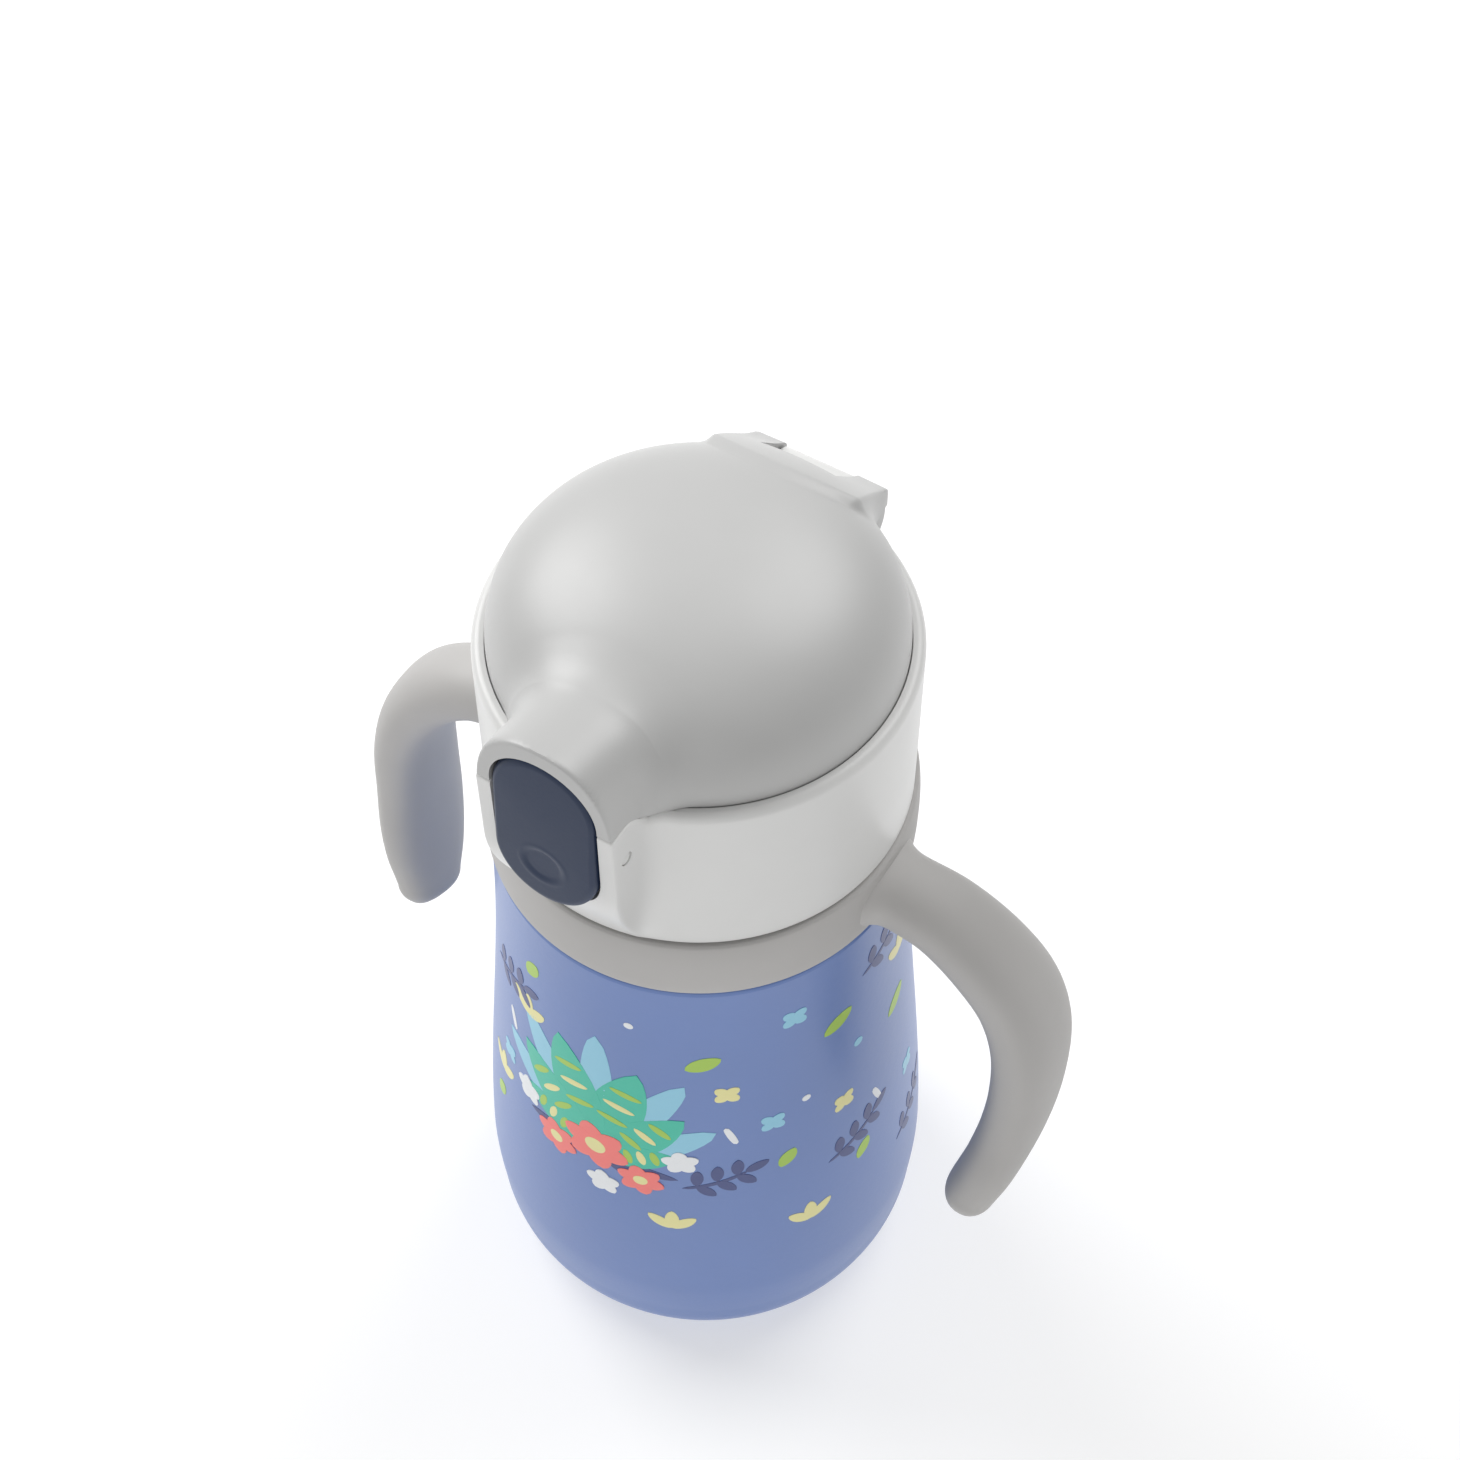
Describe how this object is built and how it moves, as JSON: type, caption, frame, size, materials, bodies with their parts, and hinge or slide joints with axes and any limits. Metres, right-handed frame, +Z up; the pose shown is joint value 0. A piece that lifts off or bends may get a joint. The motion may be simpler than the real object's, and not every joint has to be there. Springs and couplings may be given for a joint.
{
  "type": "kids water bottle",
  "caption": "Vacuum-insulated drinking bottle for a child, with a push-button flip-up lid over a soft mouthpiece and a grip handle on each side.",
  "frame": {"origin": "centre of the base, on the surface that the bottle stands on", "axes": "+Z up along the bottle's axis, -Y towards the release button, +Y towards the cover's hinge, one handle at +X and one at -X"},
  "size_m": [0.1304, 0.0812, 0.1833],
  "materials": {
    "painted_body": "matte powder coat, periwinkle blue",
    "raw_steel": "brushed stainless steel",
    "soft_grey": "soft matte warm grey",
    "white_plastic": "satin white",
    "natural_plastic": "natural polypropylene",
    "silicone": "milky silicone",
    "pin_steel": "bright spring steel",
    "cover_grey": "satin cool grey",
    "navy_plastic": "satin navy"
  },
  "bodies": {
    "flask": {"outer_shell": "painted_body", "inner_liner": "raw_steel", "base_cup": "raw_steel", "vacuum_plug": "raw_steel", "getter": "raw_steel", "base_plate": "raw_steel"},
    "handles": {"handle_ring": "soft_grey"},
    "lid": {"lid_collar": "white_plastic", "screw_insert": "natural_plastic", "mouth_gasket": "silicone", "spout": "silicone", "straw_adapter": "natural_plastic", "straw": "silicone", "vent_valve": "silicone", "hinge_pin": "pin_steel", "hinge_spring": "pin_steel", "button_pin": "white_plastic", "button_spring": "pin_steel"},
    "cover": {"flip_cover": "cover_grey", "spout_seal": "silicone"},
    "button": {"release_button": "navy_plastic"}
  },
  "joints": [
    {"name": "lid_lift", "type": "slide", "parent": "flask", "child": "handles", "axis": [0, 0, 1], "range_m": [0, 0.15]},
    {"name": "lid_turn", "type": "hinge", "parent": "handles", "child": "lid", "pos_m": [0, 0, 0.14], "axis": [0, 0, 1], "range_deg": [0, 540]},
    {"name": "cover_hinge", "type": "hinge", "parent": "lid", "child": "cover", "pos_m": [0, 0.0298, 0.164], "axis": [-1, 0, 0], "range_deg": [0, 110]},
    {"name": "button_rocker", "type": "hinge", "parent": "lid", "child": "button", "pos_m": [0, -0.0362, 0.1618], "axis": [1, 0, 0], "range_deg": [0, 7], "stiffness_Nm_per_rad": 0.12}
  ]
}
